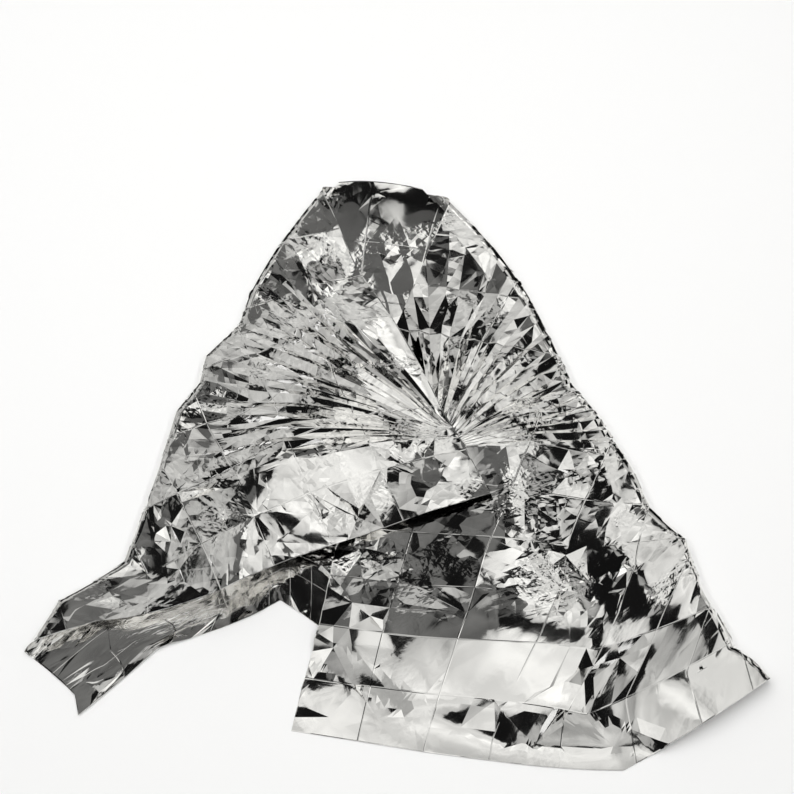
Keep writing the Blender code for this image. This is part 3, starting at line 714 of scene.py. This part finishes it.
def split_facets(flat, rises, triangles, rng):
    """Cuts each facet into small triangles that share its plane but for a slight bow."""
    n = SPLIT
    steps = [(i, j) for i in range(n + 1) for j in range(n + 1 - i)]
    number = {step: m for m, step in enumerate(steps)}
    weights = np.array([(i / n, j / n, (n - i - j) / n) for i, j in steps])
    small = []
    for i in range(n):
        for j in range(n - i):
            small.append((number[i, j], number[i + 1, j], number[i, j + 1]))
            if i + j < n - 1:
                small.append((number[i + 1, j], number[i + 1, j + 1], number[i, j + 1]))
    corners = flat[triangles]  # facet, corner, (s, t)
    where = np.einsum("wc,fcd->fwd", weights, corners)
    height = np.einsum("wc,fc->fw", weights, rises[triangles])
    side_a, side_b = corners[:, 1] - corners[:, 0], corners[:, 2] - corners[:, 0]
    size = np.sqrt(np.abs(side_a[:, 0] * side_b[:, 1] - side_a[:, 1] * side_b[:, 0]))
    bow = BOW * size * rng.uniform(-1, 1, len(triangles))
    bubble = BUBBLE_SCALE * weights.prod(axis=1)
    height = height + bow[:, None] * bubble[None, :]
    wide = size > LEAST_FACET  # the triangulation leaves facets with no width along a straight edge
    where = where[wide].reshape(-1, 2)
    height = height[wide].reshape(-1)
    first_point = np.arange(np.count_nonzero(wide)) * len(weights)
    faces = np.array(small)[None, :, :] + first_point[:, None, None]
    keys = np.round(where / SAME_PLACE).astype(np.int64)
    _, first, inverse = np.unique(keys, axis=0, return_index=True, return_inverse=True)
    faces = inverse.reshape(-1)[faces.reshape(-1, 3)]
    return where[first], height[first], faces


def waviness(s, t):
    """Fine waves all over the film."""
    value = np.zeros_like(s)
    for along_s, along_t, phase in WAVES:
        value += np.sin(math.pi * (along_s * s + along_t * t) + phase)
    return WAVE_RISE * value


def math_node(nodes, links, operation, first, second=0.0):
    """Output of a Math node; each input is a number or another node's output."""
    node = nodes.new("ShaderNodeMath")
    node.operation = operation
    for socket, value in zip(node.inputs, (first, second)):
        if isinstance(value, (int, float)):
            socket.default_value = value
        else:
            links.new(value, socket)
    return node.outputs[0]


def map_range(nodes, links, value, taken, given, curve="LINEAR"):
    """Output that runs over the given range while the value runs over the taken one."""
    node = nodes.new("ShaderNodeMapRange")
    node.interpolation_type = curve
    for socket, number in zip(("From Min", "From Max", "To Min", "To Max"), (*taken, *given)):
        node.inputs[socket].default_value = number
    links.new(value, node.inputs["Value"])
    return node.outputs["Result"]


def noise(nodes, links, place, scale, detail):
    """Outputs of a Noise Texture node at the given place."""
    node = nodes.new("ShaderNodeTexNoise")
    node.inputs["Scale"].default_value = scale
    node.inputs["Detail"].default_value = detail
    links.new(place, node.inputs["Vector"])
    return node.outputs


def crease_lines(nodes, links, along, pitch, offset):
    """A thin ridge, in metres, wherever a sheet coordinate is at one of the pack's creases."""
    cells = math_node(nodes, links, "DIVIDE", math_node(nodes, links, "ADD", along, offset), pitch)
    from_crease = math_node(nodes, links, "PINGPONG", cells, 0.5)
    distance = math_node(nodes, links, "MULTIPLY", from_crease, pitch)
    ridge = (CREASE_LINE_RISE, 0.0)
    return map_range(nodes, links, distance, (0.0, CREASE_LINE_WIDTH), ridge, "SMOOTHSTEP")


def crinkle_facets(nodes, links, place, scale, slope, metric, turn):
    """Small flat facets with creases between them: height in metres."""
    scaled = nodes.new("ShaderNodeMapping")
    scaled.inputs["Rotation"].default_value = (0.0, 0.0, turn)
    links.new(place, scaled.inputs["Vector"])
    cells = nodes.new("ShaderNodeTexVoronoi")
    cells.voronoi_dimensions = "2D"
    cells.distance = metric
    cells.inputs["Scale"].default_value = scale
    cells.inputs["Randomness"].default_value = 1.0
    links.new(scaled.outputs["Vector"], cells.inputs["Vector"])
    return math_node(nodes, links, "MULTIPLY", cells.outputs["Distance"], slope / scale)


def patches(nodes, links, place, patch_scale, where):
    """1 in some patches of the sheet and 0 in the others."""
    cloudy = noise(nodes, links, place, patch_scale, detail=1.0)["Fac"]
    return map_range(nodes, links, cloudy, where, (0.0, 1.0), "SMOOTHSTEP")


def film_material():
    """Bright metallised film: smudged gloss, and creases and crinkles too fine for the mesh."""
    material = bpy.data.materials.new("silver_film")
    material.use_nodes = True
    nodes, links = material.node_tree.nodes, material.node_tree.links
    shader = nodes["Principled BSDF"]
    shader.inputs["Metallic"].default_value = 1.0
    sheet_place = nodes.new("ShaderNodeUVMap")
    sheet_place.uv_map = SHEET_MAP
    place = sheet_place.outputs["UV"]
    parts = nodes.new("ShaderNodeSeparateXYZ")
    links.new(place, parts.inputs["Vector"])

    smudges = noise(nodes, links, place, **SMUDGES)["Fac"]
    rough = map_range(nodes, links, smudges, NOISE_MIDDLE, FILM_ROUGHNESS)
    links.new(rough, shader.inputs["Roughness"])
    tone = nodes.new("ShaderNodeValToRGB")
    for element, (position, colour) in zip(tone.color_ramp.elements, FILM_COLOURS):
        element.position = position
        element.color = colour
    links.new(smudges, tone.inputs["Fac"])
    links.new(tone.outputs["Color"], shader.inputs["Base Color"])

    columns = crease_lines(nodes, links, parts.outputs["X"], COLUMN_PITCH, LEFT_HALF)
    rows = crease_lines(nodes, links, parts.outputs["Y"], ROW_PITCH, 0.0)
    creases = math_node(nodes, links, "MAXIMUM", columns, rows)
    crisp = patches(nodes, links, place, **FAINT_PATCHES)
    crisp = math_node(nodes, links, "MULTIPLY", crisp, 1 - FAINT_LINE)
    crisp = math_node(nodes, links, "ADD", crisp, FAINT_LINE)
    creases = math_node(nodes, links, "MULTIPLY", creases, crisp)

    moved = nodes.new("ShaderNodeVectorMath")
    moved.operation = "MULTIPLY_ADD"
    moved.inputs[1].default_value = (CRINKLE_BEND, CRINKLE_BEND, 0.0)
    links.new(noise(nodes, links, place, **WANDER)["Color"], moved.inputs[0])
    links.new(place, moved.inputs[2])
    crinkles = 0.0
    for row in CRINKLES:
        layer = dict(zip(CRINKLE_COLUMNS, row))
        share = patches(nodes, links, place, layer.pop("patch_scale"), layer.pop("where"))
        facets = crinkle_facets(nodes, links, moved.outputs["Vector"], **layer)
        facets = math_node(nodes, links, "MULTIPLY", facets, share)
        crinkles = math_node(nodes, links, "ADD", facets, crinkles)
    for axis, calm_from in (("X", CALM_FROM), ("Y", BACK_CALM_FROM)):
        calming = (calm_from, calm_from + CALM_OVER)
        lively = map_range(
            nodes, links, parts.outputs[axis], calming, (1.0, CALM_CRINKLES), "SMOOTHSTEP"
        )
        crinkles = math_node(nodes, links, "MULTIPLY", crinkles, lively)
    height = math_node(nodes, links, "ADD", creases, crinkles)
    bump = nodes.new("ShaderNodeBump")
    bump.inputs["Strength"].default_value = 1.0
    bump.inputs["Distance"].default_value = 1.0
    links.new(height, bump.inputs["Height"])
    links.new(bump.outputs["Normal"], shader.inputs["Normal"])
    return material


def build_sheet():
    """The whole blanket as one mesh: creased in the flat, then laid."""
    rng = np.random.default_rng(SEED)
    found_dents = dents()
    found_crumples = crumples(rng)
    lines = lines_of_pack() + lines_of_folds() + lines_of_pleats()
    lines += [crumple["line"] for crumple in found_crumples]
    flat, triangles = triangulate(lines, found_dents)
    s, t = flat[:, 0], flat[:, 1]
    panel = across(*polar(s, t))[4]
    extra = dent_relief(s, t, found_dents) + crumple_relief(s, t, found_crumples)
    height = relief(s, t) + np.where(panel == 0, DENT_ON_BACK * extra, extra)
    flat, height, faces = split_facets(flat, height, np.array(triangles), rng)
    s, t = flat[:, 0], flat[:, 1]
    shown = showing(s, t)
    at = lie(s, t) + outward(s, t) * (height + waviness(s, t) * shown)[:, None]
    at[:, 2] = np.maximum(at[:, 2], FILM / 2)  # nothing goes into the floor
    mesh = bpy.data.meshes.new("film")
    mesh.vertices.add(len(at))
    mesh.vertices.foreach_set("co", at.astype(np.float32).ravel())
    mesh.loops.add(faces.size)
    mesh.loops.foreach_set("vertex_index", faces.astype(np.int32).ravel())
    mesh.polygons.add(len(faces))
    mesh.polygons.foreach_set("loop_start", np.arange(0, faces.size, 3, dtype=np.int32))
    mesh.update(calc_edges=True)
    mesh.validate()
    sheet_map = mesh.uv_layers.new(name=SHEET_MAP)
    sheet_map.data.foreach_set("uv", flat[faces.ravel()].astype(np.float32).ravel())
    mesh.shade_smooth()
    mesh.set_sharp_from_angle(angle=math.radians(SHARP_DEG))
    sheet = bpy.data.objects.new("foil_sheet", mesh)
    sheet.data.materials.append(film_material())
    bpy.context.scene.collection.objects.link(sheet)
    return sheet


FLOOR_TONE = 0.88
FLOOR_ROUGHNESS = 0.9
FLOOR_SIZE = 60
DOWN = (0, 0, -1)
ABOVE = 3.6  # height of the softboxes that the film mirrors from over it
# Each softbox's middle, size, what it faces, and how bright its face is. Some hang over the
# sheet, face down, and some stand round it; the gaps between them are what the dark facets mirror.
# The fill lights the floor alone and isn't mirrored
SOFTBOXES = {
    "far_left": {"at": (-3.6, 3.4, ABOVE), "size": (1.6, 3.1), "faces": DOWN, "glow": 0.60},
    "near_left": {"at": (-3.6, 0.25, ABOVE), "size": (1.6, 1.7), "faces": DOWN, "glow": 0.60},
    "back_left": {"at": (-1.8, 3.25, ABOVE), "size": (2.0, 3.5), "faces": DOWN, "glow": 0.58},
    "over_middle": {"at": (0.4, 1.55, ABOVE), "size": (0.8, 1.5), "faces": DOWN, "glow": 0.95},
    "over_front": {"at": (-0.05, -0.14, ABOVE), "size": (1.7, 0.92), "faces": DOWN, "glow": 0.95},
    "over_right": {"at": (1.25, 2.2, ABOVE), "size": (0.9, 5.6), "faces": DOWN, "glow": 0.82},
    "past_lapel": {"at": (2.2, 4.4, ABOVE), "size": (1.0, 2.6), "faces": DOWN, "glow": 1.15},
    "before_lapel": {"at": (0.57, 3.6, ABOVE), "size": (0.46, 2.0), "faces": DOWN, "glow": 0.75},
    "past_shoulder": {"at": (2.4, 2.3, ABOVE), "size": (1.0, 1.4), "faces": DOWN, "glow": 0.42},
    "far_right": {"at": (3.6, 0.1, ABOVE), "size": (1.6, 2.8), "faces": DOWN, "glow": 0.80},
    "front": {"at": (0.0, -2.1, ABOVE), "size": (3.4, 3.0), "faces": DOWN, "glow": 0.90},
    "front_right": {"at": (2.25, -2.1, ABOVE), "size": (1.1, 3.0), "faces": DOWN, "glow": 0.50},
    "front_left": {"at": (-3.0, -2.1, ABOVE), "size": (2.6, 3.0), "faces": DOWN, "glow": 0.54},
    "over_left": {"at": (-1.25, 0.8, ABOVE), "size": (0.9, 1.4), "faces": DOWN, "glow": 0.15},
    "back_middle": {"at": (-0.4, 3.0, ABOVE), "size": (0.8, 4.0), "faces": DOWN, "glow": 0.12},
    "wall_left": {"at": (-4.4, 0.5, 1.8), "size": (6.0, 3.2), "faces": (1, 0, 0), "glow": 0.58},
    "wall_right": {"at": (4.4, 0.5, 1.8), "size": (6.0, 3.2), "faces": (-1, 0, 0), "glow": 0.80},
    "wall_back": {"at": (0.0, 5.0, 1.8), "size": (6.0, 3.2), "faces": (0, -1, 0), "glow": 0.65},
    "wall_front": {"at": (1.6, -3.8, 2.2), "size": (3.2, 2.4), "faces": (0, 1, 0), "glow": 0.60},
    "fill": {"at": (-0.4, 0.8, 4.2), "size": (5.0, 5.0), "faces": DOWN, "glow": 2.4},
}
FILL = "fill"
RIM_DIMMER = 0.35  # how much dimmer a softbox is at the middle of its rim than at its centre
CLOUD_SIZE = 0.8  # soft unevenness of a softbox's face, in metres
CLOUD_RANGE = (0.80, 1.35)
SOFTBOX_COLOUR = (1.0, 0.995, 0.968)
WORLD_GLOW = 0.006  # the room beyond the softboxes, as the film mirrors it
BACKDROP_GLOW = 0.92  # and as the camera sees it

CAMERA_ELEVATION = 70.0  # degrees above the floor
CAMERA_DISTANCE = 3.6  # from the point it aims at
CAMERA_AIM = (0.0, 0.127, 0.03)
PIXELS_PER_METRE = 492.0  # at that point
FRAME_PIXELS = 794
SENSOR = 36.0  # millimetres


def uneven_face(light, size):
    """Makes a softbox dimmer towards its rim and a little cloudy, as a lit cloth face is."""
    light.use_nodes = True
    nodes, links = light.node_tree.nodes, light.node_tree.links
    geometry_node = nodes.new("ShaderNodeNewGeometry")
    over_face = nodes.new("ShaderNodeSeparateXYZ")
    links.new(geometry_node.outputs["Parametric"], over_face.inputs["Vector"])
    glow = 1.0
    for axis in ("X", "Y"):
        from_centre = math_node(nodes, links, "SUBTRACT", over_face.outputs[axis], 0.5)
        squared = math_node(nodes, links, "MULTIPLY", from_centre, from_centre)
        dimmer = math_node(nodes, links, "MULTIPLY", squared, 4 * RIM_DIMMER)
        share = math_node(nodes, links, "SUBTRACT", 1.0, dimmer)
        glow = math_node(nodes, links, "MULTIPLY", share, glow)
    in_metres = nodes.new("ShaderNodeVectorMath")
    in_metres.operation = "MULTIPLY"
    in_metres.inputs[1].default_value = (*size, 1.0)
    links.new(geometry_node.outputs["Parametric"], in_metres.inputs[0])
    cloud = noise(nodes, links, in_metres.outputs["Vector"], 1 / CLOUD_SIZE, detail=2.0)["Fac"]
    uneven = map_range(nodes, links, cloud, NOISE_MIDDLE, CLOUD_RANGE)
    glow = math_node(nodes, links, "MULTIPLY", glow, uneven)
    links.new(glow, nodes["Emission"].inputs["Strength"])


def build_studio():
    """A pale floor, the softboxes and a room that is dark but for the backdrop."""
    bpy.ops.mesh.primitive_plane_add(size=FLOOR_SIZE, location=(0, 0, 0))
    floor = bpy.context.object
    floor.name = "floor"
    material = bpy.data.materials.new("floor_paper")
    material.use_nodes = True
    shader = material.node_tree.nodes["Principled BSDF"]
    shader.inputs["Base Color"].default_value = (FLOOR_TONE, FLOOR_TONE, FLOOR_TONE, 1)
    shader.inputs["Roughness"].default_value = FLOOR_ROUGHNESS
    floor.data.materials.append(material)
    for name, box in SOFTBOXES.items():
        mirrored = name != FILL
        light = bpy.data.lights.new(name, "AREA")
        light.shape = "RECTANGLE"
        light.size, light.size_y = box["size"]
        light.energy = box["glow"] * math.pi * box["size"][0] * box["size"][1]
        if mirrored:
            light.color = SOFTBOX_COLOUR
            uneven_face(light, box["size"])
        lamp = bpy.data.objects.new(name, light)
        lamp.location = box["at"]
        lamp.rotation_euler = Vector(box["faces"]).to_track_quat("-Z", "Y").to_euler()
        lamp.visible_camera = False
        lamp.visible_glossy = mirrored
        bpy.context.scene.collection.objects.link(lamp)
    world = bpy.data.worlds.new("studio")
    bpy.context.scene.world = world
    world.use_nodes = True
    nodes, links = world.node_tree.nodes, world.node_tree.links
    background = nodes["Background"]
    background.inputs["Strength"].default_value = 1.0
    seen = nodes.new("ShaderNodeLightPath").outputs["Is Camera Ray"]
    tone = map_range(nodes, links, seen, (0.0, 1.0), (WORLD_GLOW, BACKDROP_GLOW))
    links.new(tone, background.inputs["Color"])


def build_camera():
    """A camera above the sheet and in front of it, at the photo's scale."""
    camera = bpy.data.cameras.new("camera")
    camera.sensor_width = SENSOR
    camera.lens = SENSOR * CAMERA_DISTANCE * PIXELS_PER_METRE / FRAME_PIXELS
    holder = bpy.data.objects.new("camera", camera)
    elevation = math.radians(CAMERA_ELEVATION)
    aim = Vector(CAMERA_AIM)
    back = Vector((0, -math.cos(elevation), math.sin(elevation)))
    holder.location = aim + back * CAMERA_DISTANCE
    holder.rotation_euler = (-back).to_track_quat("-Z", "Y").to_euler()
    bpy.context.scene.collection.objects.link(holder)
    bpy.context.scene.camera = holder


bpy.context.scene.view_settings.view_transform = "Standard"
build_studio()
build_camera()
sheet = build_sheet()
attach(sheet, "root")
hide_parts("blanket")
